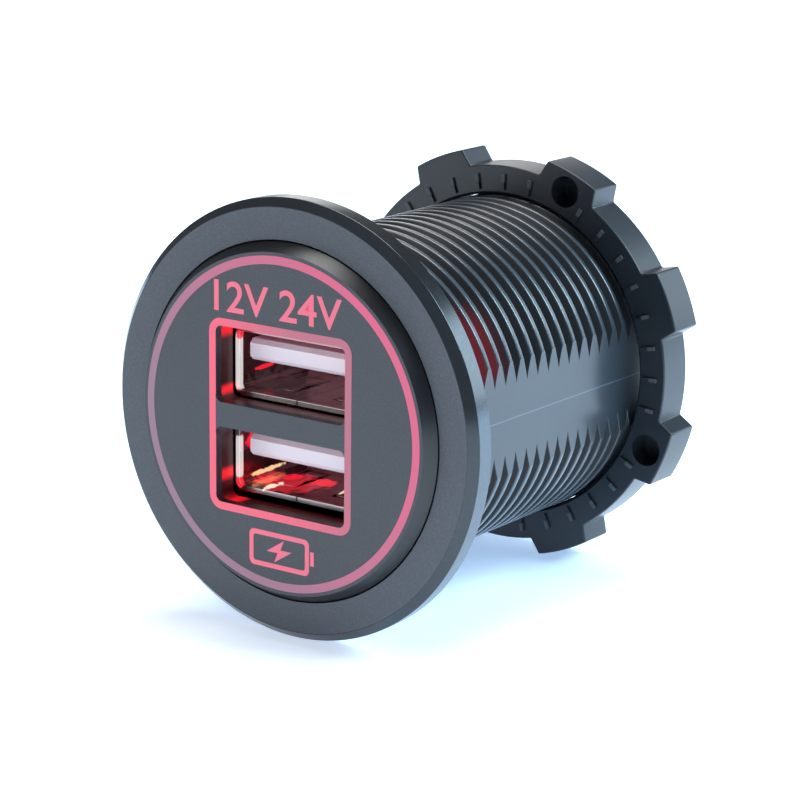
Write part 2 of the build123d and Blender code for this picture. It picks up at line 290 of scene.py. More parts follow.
@dataclass(frozen=True)
class Threaded:
    """Moulded thread with painted highlights on its crests and flats, which also get a glossy coat,
    and a painted red glow where lamp light leaks into its grooves.

    The pairs are where each effect starts and where it is full.
    """

    name: str
    groove: Colour
    crest: Colour
    leak: Colour
    crest_radius: float
    flat: float
    below_crest: Point = (0.13, 0.03)
    below_flat: Point = (0.06, 0.02)
    flat_gloss_and_highlight: float = 0.75
    leak_rear: Point = (10.5, 7.5)
    leak_front: Point = (3.0, 4.0)
    leak_low: Point = (2.0, 5.0)
    leak_high: Point = (10.5, 7.5)
    leak_side: Point = (0.0, 4.0)
    seam_half: float = 0.07
    seam_highlight: float = 2.5

    def material(self) -> Material:
        """Builds the material.

        Returns:
            The material.
        """
        recipe = Recipe(self.name)
        across, depth, up = (recipe.along(axis) for axis in "XYZ")
        reach = (across * across + up * up).root()
        high = reach.fade(*(self.crest_radius - below for below in self.below_crest))
        on_flat = (across * across).fade(*((self.flat - below) ** 2 for below in self.below_flat))
        # Crests and flats get a glossy coat and a lighter colour, a painted highlight.
        gloss_and_highlight = high.most(on_flat * self.flat_gloss_and_highlight)
        fine = recipe.noise(0.16, 3.0)
        broad = recipe.noise(6.0)
        # A painted red glow in the grooves near the front, where the lamps' light leaks.
        near = depth.fade(*self.leak_rear) * depth.fade(*self.leak_front)
        beside = up.fade(*self.leak_low) * up.fade(*self.leak_high) * across.fade(*self.leak_side)
        leak = near * beside * (1 - gloss_and_highlight)
        # The real parting line on the flats, drawn lighter as a painted highlight.
        seam = ((up / self.seam_half) ** 2.0).fade(1.0, 0.3) * on_flat
        body = recipe.blend(gloss_and_highlight, self.groove, self.crest)
        return recipe.surface(
            Base_Color=recipe.blend(seam, body, tint(self.crest, self.seam_highlight)),
            Roughness=0.42 + (fine - 0.5) * 0.12 + (broad - 0.5) * 0.12,
            IOR=1.32,
            Coat_Weight=gloss_and_highlight,
            Coat_Roughness=0.2,
            Emission_Color=recipe.blend(leak, DARK, self.leak),
            Normal=recipe.bump(fine, 0.006),
        )


@dataclass(frozen=True)
class Glossy:
    """Smooth plastic with faint ripples."""

    name: str
    colour: Colour
    roughness: float

    def material(self) -> Material:
        """Builds the material.

        Returns:
            The material.
        """
        recipe = Recipe(self.name)
        ripple = recipe.noise(1.6)
        return recipe.surface(
            Base_Color=self.colour,
            Roughness=self.roughness + (ripple - 0.5) * 0.06,
            Normal=recipe.bump(ripple, 0.002),
        )


@dataclass(frozen=True)
class Anodised:
    """Dyed aluminium, blasted or turned, with specks that are paler and rougher."""

    name: str
    colour: Colour
    roughness: float
    metallic: float
    grain: float
    depth: float
    spread: float = 0.1
    cloud: float = 60.0

    def material(self) -> Material:
        """Builds the material.

        Returns:
            The material.
        """
        recipe = Recipe(self.name)
        speck = recipe.noise(self.grain, 4.0)
        cloud = recipe.noise(self.grain * self.cloud, 1.0)
        pale = tint(self.colour, 1 + self.spread * 5)
        rough = self.roughness + (speck - 0.5) * self.spread
        return recipe.surface(
            Base_Color=recipe.blend(speck.fade(0.45, 0.75), self.colour, pale),
            Metallic=self.metallic,
            Roughness=rough + (cloud - 0.5) * self.spread * 0.6,
            Normal=recipe.bump(speck, self.depth),
        )


@dataclass(frozen=True)
class Sheet:
    """Plated sheet metal with faint drawing lines and handling marks."""

    name: str
    colour: Colour
    roughness: float

    def material(self) -> Material:
        """Builds the material.

        Returns:
            The material.
        """
        recipe = Recipe(self.name)
        drawn = recipe.noise(0.25, 3.0, (1.0, 12.0, 1.0))
        marks = recipe.noise(1.4, 4.0)
        return recipe.surface(
            Base_Color=recipe.blend(marks.fade(0.5, 0.8), self.colour, tint(self.colour, 0.75)),
            Metallic=1.0,
            Roughness=self.roughness + (marks - 0.4) * 0.25,
            Normal=recipe.bump(drawn, 0.002),
        )


@dataclass(frozen=True)
class Glint:
    """Soft painted spot of light with a broken edge, used for lamp glow and for highlights, where
    the power sets how square it is.
    """

    place: Place
    reach: Place
    colour: Colour
    power: float = 2.0
    broken: float = 2.4

    def share(self, recipe: Recipe) -> Value:
        """Gives how much of the spot falls on each point.

        Args:
            recipe: The material that it falls on.

        Returns:
            The share, from 0 to 1.
        """
        parts = [
            ((recipe.along(axis) - middle) / reach) ** self.power
            for axis, middle, reach in zip("XYZ", self.place, self.reach)
        ]
        uneven = (recipe.noise(0.7, 3.0) - 0.5) * self.broken
        return (parts[0] + parts[1] + parts[2] + uneven).fade(1.0, 0.35)


@dataclass(frozen=True)
class Shell:
    """Plated shell, with painted shade that darkens it deeper in and under its top, and painted
    lamp light and highlights in it.

    The pairs are where each effect starts and where it is full, behind the lip, below the
    top, or as a squared distance from the folded sheet's seam.
    """

    name: str
    lip: Colour
    inside_shade: Colour
    lip_depth: float
    top: float
    glints: tuple[Glint, ...]
    deep: Point = (0.15, 0.6)
    roof: Point = (0.7, 0.3)
    roof_glow: Colour = (0.16, 0.012, 0.02)
    seam: float = -0.1
    seam_side: Point = (0.008, 0.002)
    seam_low: Point = (2.5, 4.0)
    seam_colour: Colour = (0.01, 0.01, 0.01)

    def material(self) -> Material:
        """Builds the material.

        Returns:
            The material.
        """
        recipe = Recipe(self.name)
        depth, up = recipe.along("Y"), recipe.along("Z")
        # Painted shade: the plating darkens behind the lip and under the shell's top.
        deep = depth.fade(*(self.lip_depth + behind for behind in self.deep))
        roof = up.fade(*(self.top - below for below in self.roof))
        near_seam = ((recipe.along("X") - self.seam) ** 2.0).fade(*self.seam_side)
        seam = near_seam * up.fade(*(self.top - below for below in self.seam_low))
        plating_and_shade = recipe.blend(deep.most(roof), self.lip, self.inside_shade)
        marks = recipe.noise(1.4, 4.0)
        # A painted red glow under the top near the lip, then the glints' painted light.
        glow = recipe.blend(roof * (1 - deep), DARK, self.roof_glow)
        for glint in self.glints:
            glow = recipe.blend(glint.share(recipe), glow, glint.colour)
        return recipe.surface(
            Base_Color=recipe.blend(seam, plating_and_shade, self.seam_colour),
            Metallic=1.0,
            Roughness=0.2 + (marks - 0.4) * 0.25,
            Emission_Color=glow,
        )


@dataclass(frozen=True)
class Lit:
    """Translucent plastic lit from behind, which changes colour along its heading."""

    name: str
    glow: Colour
    far_glow: Colour
    heading: Point = (1.0, 0.0)
    span: Point = (-9.0, 9.0)
    unlit: Colour = (0.1, 0.03, 0.05)
    patchy: float = 0.3

    def material(self) -> Material:
        """Builds the material.

        Returns:
            The material.
        """
        recipe = Recipe(self.name)
        towards = recipe.along("X") * self.heading[0] + recipe.along("Z") * self.heading[1]
        patch = recipe.noise(5.0, 1.0) - 0.5
        share = towards.fade(*self.span) + patch * self.patchy
        return recipe.surface(
            Base_Color=self.unlit,
            Roughness=0.45,
            Emission_Color=recipe.blend(share, self.glow, self.far_glow),
        )


@dataclass(frozen=True)
class Guide:
    """Clear light guide, dim in most places and bright at its (X, Z, radius) spots, painted grey
    beside the crossbar as a painted reflection.
    """

    name: str
    colour: Colour
    dim: Colour
    bright: Colour
    spots: tuple[Place, ...]
    bar: Colour = (0.06, 0.064, 0.072)
    reflection_beside_bar: Point = (4.4, 2.6)
    core: float = 0.2

    def material(self) -> Material:
        """Builds the material.

        Returns:
            The material.
        """
        recipe = Recipe(self.name)
        across, up = recipe.along("X"), recipe.along("Z")
        glow: Any = 0.0
        for x, z, radius in self.spots:
            distance = ((across - x) ** 2.0 + (up - z) ** 2.0).root()
            glow = glow + distance.fade(radius, radius * self.core)
        # The walls beside the crossbar are painted grey, a painted reflection of the pale
        # surroundings.
        reflection_beside_bar = (up ** 2.0).fade(*self.reflection_beside_bar)
        return recipe.surface(
            Base_Color=recipe.blend(reflection_beside_bar, self.colour, self.bar),
            Roughness=0.4,
            Emission_Color=recipe.blend(glow, self.dim, self.bright),
        )


class Form:
    """A mesh in the making, in millimetres."""

    def __init__(self) -> None:
        """Starts empty."""
        self.bm = bmesh.new()

    def loop(self, points: Iterable[Place], closed: bool = True) -> Edges:
        """Draws a line through points.

        Args:
            points: Points of the line.
            closed: Whether the line returns to its start.

        Returns:
            The line's edges.
        """
        verts = [self.bm.verts.new(point) for point in points]
        ends = verts[1:] + verts[:1] if closed else verts[1:]
        return [self.bm.edges.new(pair) for pair in zip(verts, ends)]

    def turn(self, outline: Sequence[Point]) -> None:
        """Spins a closed outline about the part's axis.

        Args:
            outline: Points of the outline, as radius and depth.
        """
        edges = self.loop([(radius, depth, 0.0) for radius, depth in outline])
        verts = list(dict.fromkeys(vert for edge in edges for vert in edge.verts))
        ops.spin(
            self.bm, geom=verts + edges, cent=(0, 0, 0), axis=(0, 1, 0), angle=math.tau,
            steps=ROUND, use_merge=True, use_duplicate=False,
        )
        self.clean()

    def prism(self, loops: Sequence[Sequence[Point]], start: float, end: float) -> None:
        """Gives depth to outlines drawn from the front.

        Args:
            loops: Outer outline and holes, as (X, Z) points.
            start: Depth of the front.
            end: Depth of the back.
        """
        edges = sum((self.loop([(x, start, z) for x, z in points]) for points in loops), [])
        self.thicken(self.fill(edges, (0, -1, 0)), end - start)

    def fill(self, edges: Edges, normal: Place) -> Faces:
        """Fills closed outlines, holes left open, and gives the faces."""
        filled = ops.triangle_fill(self.bm, edges=edges, use_beauty=True, normal=normal)
        return only(filled["geom"], bmesh.types.BMFace)

    def thicken(self, faces: Faces, depth: float) -> None:
        """Turns flat faces into a solid.

        Args:
            faces: The faces, which stay as its front.
            depth: How far its back lies behind them.
        """
        grown = ops.extrude_face_region(self.bm, geom=faces, use_keep_orig=True)
        verts = only(grown["geom"], bmesh.types.BMVert)
        ops.translate(self.bm, verts=verts, vec=(0, depth, 0))
        self.clean()

    def trim(self, point: Place, normal: Place) -> Edges:
        """Cuts off what lies beyond a plane.

        Args:
            point: Point in the plane.
            normal: Direction in which the form is cut off.

        Returns:
            The edges of the cut.
        """
        everything = self.bm.verts[:] + self.bm.edges[:] + self.bm.faces[:]
        cut = ops.bisect_plane(
            self.bm, geom=everything, dist=GRAZE, plane_co=point, plane_no=normal, clear_outer=True
        )
        return only(cut["geom_cut"], bmesh.types.BMEdge)

    def clean(self) -> None:
        """Merges doubles and turns the faces outwards."""
        ops.remove_doubles(self.bm, verts=self.bm.verts, dist=MERGE)
        ops.recalc_face_normals(self.bm, faces=self.bm.faces)

    def flatten(self) -> None:
        """Joins facets that lie in one plane."""
        ops.dissolve_limit(
            self.bm, angle_limit=PLANAR, use_dissolve_boundaries=False,
            verts=self.bm.verts, edges=self.bm.edges,
        )

    def soften(self, width: float, segments: int = 2,
               chosen: Callable[[Vector], bool] = lambda middle: True) -> None:
        """Rounds sharp edges.

        Args:
            width: Width of the rounding.
            segments: Facets across it.
            chosen: Picks edges by their middle. All sharp edges if left out.
        """
        sharp = [
            edge for edge in self.bm.edges
            if edge.is_manifold and edge.calc_face_angle(0.0) > SHARP
            and chosen((edge.verts[0].co + edge.verts[1].co) / 2)
        ]
        ops.bevel(
            self.bm, geom=sharp, offset=width, offset_type="OFFSET", segments=segments,
            profile=0.5, affect="EDGES", material=-1, clamp_overlap=True,
        )

    def paint(self, slot: int, chosen: Callable[[Vector], bool]) -> None:
        """Gives faces another material slot.

        Args:
            slot: Place of the slot.
            chosen: Picks a face by its centre.
        """
        for face in self.bm.faces:
            if chosen(face.calc_center_median()):
                face.material_index = slot

    def carve(self, cutter: "Form") -> None:
        """Cuts another form out of this one.

        Args:
            cutter: The other form. It is used up.
        """
        objects = []
        for form in (self, cutter):
            mesh = bpy.data.meshes.new("rough")
            form.bm.to_mesh(mesh)
            objects.append(put("rough", mesh))
        modifier = objects[0].modifiers.new("cut", "BOOLEAN")
        modifier.operation = "DIFFERENCE"
        modifier.object = objects[1]
        modifier.solver = "EXACT"
        graph = bpy.context.evaluated_depsgraph_get()
        result = bpy.data.meshes.new_from_object(objects[0].evaluated_get(graph))
        self.bm.clear()
        self.bm.from_mesh(result)
        cutter.bm.free()
        for mesh in (*(thing.data for thing in objects), result):
            bpy.data.meshes.remove(mesh)
        self.clean()

    def piece(self, name: str, *finishes: Material, angle: float = 32.0) -> bpy.types.Object:
        """Ends the form as an object in metres.

        Args:
            name: Name of the object.
            finishes: Materials, one for each slot.
            angle: Edges sharper than this many degrees stay crisp.

        Returns:
            The object.
        """
        ops.scale(self.bm, vec=(MM, MM, MM), verts=self.bm.verts)
        mesh = bpy.data.meshes.new(name)
        self.bm.to_mesh(mesh)
        self.bm.free()
        mesh.shade_smooth()
        mesh.set_sharp_from_angle(angle=math.radians(angle))
        for finish in finishes:
            mesh.materials.append(finish)
        thing = put(name, mesh)
        thing.modifiers.new("even_normals", "WEIGHTED_NORMAL").keep_sharp = True
        return thing


def arc(radius: float, start: float, end: float, steps: int,
        centre: Point = (0.0, 0.0)) -> list[Point]:
    """Gives points on an arc from start to end in degrees, both included."""
    turns = [math.radians(start + (end - start) * step / steps) for step in range(steps + 1)]
    return [(centre[0] + radius * math.cos(a), centre[1] + radius * math.sin(a)) for a in turns]


def circle(radius: float, steps: int = ROUND, centre: Point = (0.0, 0.0)) -> list[Point]:
    """Gives points round a circle, each once."""
    return arc(radius, 0.0, 360.0, steps, centre)[:-1]


def rounded(half_x: float, low: float, high: float, corner: float, steps: int = 8) -> list[Point]:
    """Gives the outline of a rounded rectangle that is centred across.

    Args:
        half_x: Half its width.
        low: Height of its lower side.
        high: Height of its upper side.
        corner: Radius of its corners.
        steps: How many chords a corner has.

    Returns:
        The points.
    """
    points: list[Point] = []
    for turn, (x, z) in enumerate([(1, 1), (-1, 1), (-1, -1), (1, -1)]):
        centre = (x * (half_x - corner), (high if z > 0 else low) - z * corner)
        points += arc(corner, 90.0 * turn, 90.0 * turn + 90.0, steps, centre)
    return points


def settle(piece: bpy.types.Object, slot: str, *nodes: str, body: Body = Body.SOCKET) -> None:
    """Puts a finished piece on its body, in the place of the nodes it stands for.

    Args:
        piece: The piece.
        slot: Name of its material slot. It is not used.
        nodes: The nodes, none for print.
        body: The body that it rides on.
    """
    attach(piece, body.value)
    if nodes:
        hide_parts(*nodes)
    log.info("%s: %d faces", piece.name, len(piece.data.polygons))


def dress(node: str, finish: Material) -> None:
    """Gives a node's own solid a finish.

    Args:
        node: Name of the node.
        finish: Its material.
    """
    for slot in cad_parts[node].material_slots:
        slot.material = finish
    log.info("%s: dressed", node)


def recast(node: str, name: str, slot: str, edge: float, finish: Material) -> None:
    """Makes a piece of the socket from a node's solid, with its facets joined.

    Args:
        node: Name of the node.
        name: Name of the piece.
        slot: Name of its material slot.
        edge: Width of the rounding on its edges.
        finish: Its material.
    """
    form = Form()
    form.bm.from_mesh(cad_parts[node].data)
    ops.scale(form.bm, vec=(1 / MM, 1 / MM, 1 / MM), verts=form.bm.verts)
    form.paint(0, lambda centre: True)
    form.clean()
    form.flatten()
    form.soften(edge)
    settle(form.piece(name, finish), slot, node)


@dataclass
class Bezel:
    """Turned metal ring with a blasted face and a polished chamfer."""

    gap: float = 0.12
    chamfer: float = 0.7
    lip: float = 0.8
    lip_reach: float = 0.67
    edge: float = 0.05

    def build(self) -> None:
        """Builds the bezel."""
        low, high = node_box("trim_ring")
        opening = node_box("face_plate")[1].x + self.gap
        neck = opening - self.lip_reach
        front, back, rim = low.y, high.y, high.x
        form = Form()
        form.turn([
            (opening, front), (rim - self.chamfer, front), (rim, front + self.chamfer),
            (rim, back), (neck, back), (neck, back - self.lip), (opening, back - self.lip),
        ])
        form.soften(self.edge)
        inner, behind = rim - self.chamfer - self.edge, front + self.chamfer + self.edge
        form.paint(1, lambda centre: off_axis(centre) > inner and centre.y < behind)
        form.paint(2, lambda centre: off_axis(centre) > rim - self.edge and centre.y > behind)
        blasted = Anodised("blasted", (0.071, 0.076, 0.087), 0.5, 0.35, 0.09, 0.006)
        polished = Anodised("polished", (0.045, 0.049, 0.056), 0.16, 0.6, 0.5, 0.0001, 0.02)
        turned = Anodised("turned_rim", (0.12, 0.135, 0.15), 0.22, 1.0, 0.5, 0.0001, 0.02)
        piece = form.piece("bezel", blasted.material(), polished.material(), turned.material())
        settle(piece, "bezel_metal", "trim_ring")


@dataclass
class Face:
    """Face plate with its windows, lit lines and light guide."""

    slope_run: float = 0.7
    slope_drop: float = 1.1
    skin: float = 0.8
    wall: float = 0.8
    sink: float = 0.01
    groove: float = 0.06
    ring_width: float = 0.7
    line: float = 0.65
    corner: float = 0.6
    half_bar: float = 1.05
    bar_round: float = 0.28
    near: float = 0.02
    guide_gap: float = 0.06
    guide_edge: float = 0.04
    edge: float = 0.05

    def __post_init__(self) -> None:
        """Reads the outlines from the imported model."""
        low, high = node_box("face_plate")
        self.front, self.back, self.radius = low.y, high.y, high.x
        self.ring = node_box("light_ring")[1].x
        frame_high = node_box("light_frame")[1]
        self.half_x = frame_high.x - self.line
        self.half_z = frame_high.z - self.line

    def windows(self, grow: float) -> list[list[Point]]:
        """Gives the upper and lower window's outlines, larger by grow on every side."""
        low, high, corner = self.half_bar - grow, self.half_z + grow, self.corner + grow
        return [rounded(self.half_x + grow, *z, corner) for z in ((low, high), (-high, -low))]

    def frame_loops(self) -> list[list[Point]]:
        """Gives the lit frame's outer and inner outlines."""
        sizes = [(self.half_x + by, self.half_z + by, self.corner + by) for by in (self.line, 0)]
        return [rounded(half_x, -half_z, half_z, corner) for half_x, half_z, corner in sizes]

    def plate(self) -> None:
        """Builds the plate."""
        front = self.front + self.sink
        inner = self.radius - self.wall
        floor = front + self.groove
        skin = self.front + self.skin
        form = Form()
        ring_inner = self.ring - self.ring_width
        form.turn([
            (0.0, front), (ring_inner, front), (ring_inner, floor),
            (self.ring, floor), (self.ring, front), (self.radius - self.slope_run, front),
            (self.radius, self.front + self.slope_drop), (self.radius, self.back),
            (inner, self.back), (inner, skin), (0.0, skin),
        ])
        cut = Form()
        cut.prism(self.frame_loops(), front - PAST, floor)
        form.carve(cut)
        for outline in self.windows(0.0):
            cut = Form()
            cut.prism([outline], front - PAST, skin + PAST)
            form.carve(cut)
        form.flatten()

        def on_bar(middle: Vector) -> bool:
            """Says whether an edge is one of the crossbar's long front edges."""
            level = abs(abs(middle.z) - self.half_bar) < self.near
            return level and abs(middle.y - front) < self.near and abs(middle.x) < self.half_x

        form.soften(self.bar_round, 4, on_bar)
        form.soften(self.edge)
        slope = front + self.edge * 0.6
        form.paint(1, lambda centre: off_axis(centre) > self.ring and centre.y > slope)
        satin = Anodised("satin_face", (0.035, 0.037, 0.044), 0.42, 0.0, 0.14, 0.003)
        gloss = Glossy("gloss_slope", (0.012, 0.012, 0.015), 0.3)
        piece = form.piece("face", satin.material(), gloss.material())
        settle(piece, "face_plastic", "face_plate")

    def lines(self) -> None:
        """Builds the lit ring and the lit frame."""
        circles = [circle(self.ring), circle(self.ring - self.ring_width)]
        pale = Lit("lit_ring", (0.20, 0.14, 0.20), (0.60, 0.075, 0.17), (0.87, 0.5), (-15.0, 16.0))
        strong = Lit("lit_frame", (0.78, 0.09, 0.15), (0.38, 0.11, 0.16), (0.7, 0.3), (-3.0, 5.0))
        lines = (("light_ring", circles, pale), ("light_frame", self.frame_loops(), strong))
        for node, loops, finish in lines:
            form = Form()
            form.prism(loops, self.front, self.front + self.groove)
            settle(form.piece(finish.name, finish.material()), "lit_line", node)

    def guide(self) -> None:
        """Builds the clear guide behind the plate."""
        low, high = node_box("light_guide")
        form = Form()
        form.prism([circle(high.x), *self.windows(self.guide_gap)], low.y, high.y)
        form.flatten()
        form.soften(self.guide_edge, 1)
        glow = Guide(
            "guide", (0.02, 0.002, 0.003), (0.022, 0.001, 0.002), (0.9, 0.01, 0.02),
            ((-6.7, 6.9, 0.9), (-6.7, 1.75, 0.6), (-6.7, -5.5, 0.75), (-5.6, -7.2, 1.1),
             (3.0, 7.5, 3.0)),
        )
        settle(form.piece("guide", glow.material()), "light_guide", "light_guide")

    def build(self) -> None:
        """Builds everything on the face."""
        self.plate()
        self.lines()
        self.guide()


@dataclass
class Print:
    """Lit marks on the face: plain voltages above the windows, a battery sign below."""

    words: str = "12V 24V"
    boldness: float = 0.012
    words_left: float = -6.75
    words_right: float = 6.3
    words_low: float = 8.72
    words_high: float = 11.35
    depth: float = 0.1
    sign_centre: Point = (0.0, -10.7)
    sign_half_x: float = 3.1
    sign_half_z: float = 1.55
    sign_line: float = 0.42
    sign_corner: float = 0.5
    knob_near: float = 0.12
    knob_far: float = 0.5
    knob_half: float = 0.6

    def lettering(self) -> bpy.types.Mesh:
        """Sets the voltages as a flat mesh that has yet to be brought to size.

        Returns:
            The mesh.
        """
        curve = bpy.data.curves.new("voltages", "FONT")
        curve.body = self.words
        curve.size = 1.0
        curve.offset = self.boldness
        holder = put("voltages", curve)
        graph = bpy.context.evaluated_depsgraph_get()
        mesh = bpy.data.meshes.new_from_object(holder.evaluated_get(graph))
        bpy.data.curves.remove(curve)
        return mesh

    def build(self) -> None:
        """Builds the marks."""
        front = node_box("light_ring")[0].y
        mesh = self.lettering()
        form = Form()
        form.bm.from_mesh(mesh)
        bpy.data.meshes.remove(mesh)
        xs, ys = zip(*(vert.co.xy for vert in form.bm.verts))
        scale_x = (self.words_right - self.words_left) / (max(xs) - min(xs))
        scale_z = (self.words_high - self.words_low) / (max(ys) - min(ys))
        for vert in form.bm.verts:
            x = self.words_left + (vert.co.x - min(xs)) * scale_x
            z = self.words_low + (vert.co.y - min(ys)) * scale_z
            vert.co = (x, front, z)
        form.thicken(form.bm.faces[:], self.depth)
        finish = Lit("lit_marks", (0.77, 0.12, 0.19), (0.70, 0.12, 0.19)).material()
        settle(form.piece("voltages", finish), "lit_line")
        settle(self.battery(front).piece("battery_sign", finish), "lit_line")

    def battery(self, front: float) -> Form:
        """Draws a battery outline with a bolt in it.

        Args:
            front: Depth of the marks' front.

        Returns:
            The form.
        """
        x, z = self.sign_centre
        half_x, half_z, line = self.sign_half_x, self.sign_half_z, self.sign_line
        form = Form()
        edge = rounded(half_x, z - half_z, z + half_z, self.sign_corner)
        hole = rounded(half_x - line, z - half_z + line, z + half_z - line, self.sign_corner / 2)
        case = [[(px + x, pz) for px, pz in outline] for outline in (edge, hole)]
        near, far = x + half_x + self.knob_near, x + half_x + self.knob_far
        low, high = z - self.knob_half, z + self.knob_half
        knob = [(near, low), (far, low), (far, high), (near, high)]
        bolt = [(0.5, 1.0), (-1.3, -0.15), (-0.15, -0.15), (-0.5, -1.0), (1.3, 0.15), (0.15, 0.15)]
        for loops in (case, [knob], [[(x + px, z + pz) for px, pz in bolt]]):
            form.prism(loops, front, front + self.depth)
        return form


@dataclass
class Ports:
    """The two folded shells with their tongues and contacts."""

    edge: float = 0.09
    tongue_edge: float = 0.1

    def build(self) -> None:
        """Builds both sockets."""
        # The tongues' faint pink glow is painted lamp light.
        insulator = Moulded(
            "insulator", (0.80, 0.77, 0.79), 0.38, 0.3, 0.001, 0.05, glow=(0.09, 0.01, 0.025)
        )
        white = insulator.material()
        gold = Sheet("gold_plate", (0.85, 0.62, 0.28), 0.25).material()
        # The lip colour is the plating; the second colour is painted shade deeper in the shell.
        lip, inside_shade = (0.42, 0.37, 0.36), (0.24, 0.18, 0.18)
        pale, warm_highlight = (0.62, 0.58, 0.58), (1.0, 0.62, 0.3)
        red, dusk = (0.85, 0.012, 0.03), (0.42, 0.014, 0.025)
        # Painted light on the shells: the red and dusk glints are the lamps' painted glow, the
        # pale, yellow, white and cream spots are painted highlights.
        lamps = {
            "upper": (
                Glint((0.0, 3.0, 1.9), (9.0, 7.0, 1.4), (0.028, 0.018, 0.02)),
                Glint((-6.2, -0.75, 4.0), (0.35, 0.38, 2.5), pale, 8.0, 0.3),
                Glint((-6.15, 2.7, 2.95), (0.3, 1.7, 0.22), red),
                Glint((-6.1, -0.8, 6.3), (0.5, 0.5, 0.45), red),
            ),
            "lower": (
                Glint((-3.3, 2.0, -6.5), (3.6, 3.0, 0.9), dusk),
                Glint((-0.8, 3.9, -6.6), (1.3, 1.1, 0.4), red),
                Glint((-3.4, 3.0, -6.4), (1.0, 0.9, 0.4), red),
                Glint((-5.2, 1.6, -6.5), (0.9, 1.6, 0.5), red),
                Glint((-6.15, 0.7, -3.2), (0.3, 0.8, 0.8), red),
                Glint((-6.2, -0.75, -4.2), (0.35, 0.38, 1.9), pale, 8.0, 0.3),
                Glint((-6.1, -0.8, -6.4), (0.5, 0.5, 0.6), red),
                Glint((-6.15, 2.6, -6.1), (0.35, 2.7, 0.24), warm_highlight),
                Glint((-3.7, 0.45, -6.55), (0.5, 1.35, 0.4), (1.0, 0.8, 0.62)),
                Glint((2.3, 2.1, -6.45), (0.3, 0.55, 0.3), (0.8, 0.68, 0.42)),
            ),
        }
        for level, glints in lamps.items():
            low, high = node_box(f"{level}_port_shell")
            finish = Shell(f"{level}_nickel", lip, inside_shade, low.y, high.z, glints)
            recast(f"{level}_port_shell", f"{level}_shell", "shell_metal", self.edge,
                   finish.material())
            recast(f"{level}_port_tongue", f"{level}_tongue", "tongue_plastic", self.tongue_edge,
                   white)
            dress(f"{level}_port_contacts", gold)


@dataclass
class Barrel:
    """Moulded housing with its collar, neck, helical thread and flats."""

    pitch: float = 1.6
    depth: float = 0.53
    crest: float = 0.42
    phase: float = 0.574
    steps: int = 96
    neck_end: float = 1.4
    flat: float = 13.56
    bore: float = 12.4
    front_bore: float = 11.6
    seat: float = 13.2
    recess: float = 14.2
    recess_depth: float = 0.8
    collar: float = 1.0
    neck: float = 14.4
    thread_edge: float = 0.07
    edge: float = 0.05
    overlap: float = 0.05
    inset: float = 0.02
    weld: float = 0.001

    def thread(self) -> Form:
        """Builds the threaded sleeve, with flats and bore.

        Returns:
            The form.
        """
        root = self.neck - self.depth
        start, end = self.neck_end, node_box("barrel")[1].y
        turns = math.ceil((end - start) / self.pitch) + 3
        first = start - 2 * self.pitch + (self.phase - start) % self.pitch
        form = Form()
        half, top = self.pitch / 2, self.crest / 2
        profile = [(root, first - half, 0), (self.neck, first - top, 0),
                   (self.neck, first + top, 0), (root, first + half, 0)]
        edges = form.loop(profile, closed=False)
        verts = list(dict.fromkeys(vert for edge in edges for vert in edge.verts))
        ops.spin(
            form.bm, geom=verts + edges, cent=(0, 0, 0), axis=(0, 1, 0),
            dvec=(0, self.pitch / self.steps, 0), angle=math.tau, steps=self.steps,
            use_merge=False, use_duplicate=False,
        )
        one_turn = form.bm.verts[:] + form.bm.edges[:] + form.bm.faces[:]
        for turn in range(1, turns):
            copied = ops.duplicate(form.bm, geom=one_turn)["geom"]
            moved = only(copied, bmesh.types.BMVert)
            ops.translate(form.bm, verts=moved, vec=(0, turn * self.pitch, 0))
        ops.remove_doubles(form.bm, verts=form.bm.verts, dist=self.weld)
        form.soften(self.thread_edge, 2, lambda middle: off_axis(middle) > self.neck - BAND)
        for depth, way in ((start - self.overlap, -1), (end, 1)):
            rim = form.trim((0, depth, 0), (0, way, 0))
            hole = form.loop([(x, depth, z) for x, z in circle(self.bore)])
            form.fill(rim + hole, (0, way, 0))
        inner = [
            edge for edge in form.bm.edges
            if edge.is_boundary and max(off_axis(vert.co) for vert in edge.verts) < self.bore + BAND
        ]
        ops.bridge_loops(form.bm, edges=inner)
        for side in (1, -1):
            form.fill(form.trim((side * self.flat, 0, 0), (side, 0, 0)), (side, 0, 0))
        form.clean()
        return form

    def front(self) -> Form:
        """Builds the collar and neck.

        Returns:
            The form.
        """
        low, high = node_box("barrel")
        form = Form()
        form.turn([
            (self.front_bore, low.y + self.recess_depth), (self.recess, low.y + self.recess_depth),
            (self.recess, low.y), (high.x, low.y), (high.x, low.y + self.collar),
            (self.neck, low.y + self.collar), (self.neck, self.neck_end),
            (self.bore - self.inset, self.neck_end), (self.bore - self.inset, self.seat),
            (self.front_bore, self.seat),
        ])
        form.soften(self.edge)
        return form

    def build(self) -> None:
        """Builds the barrel as one piece."""
        form = self.thread()
        front = self.front()
        mesh = bpy.data.meshes.new("collar")
        front.bm.to_mesh(mesh)
        front.bm.free()
        form.bm.from_mesh(mesh)
        bpy.data.meshes.remove(mesh)
        # Colours: the grooves, the painted highlight on crests and flats, and the painted red glow.
        black = Threaded(
            "barrel_black", (0.005, 0.006, 0.008), (0.024, 0.033, 0.044), (0.11, 0.001, 0.003),
            self.neck, self.flat,
        )
        piece = form.piece("threaded_barrel", black.material(), angle=24.0)
        settle(piece, "barrel_plastic", "barrel")


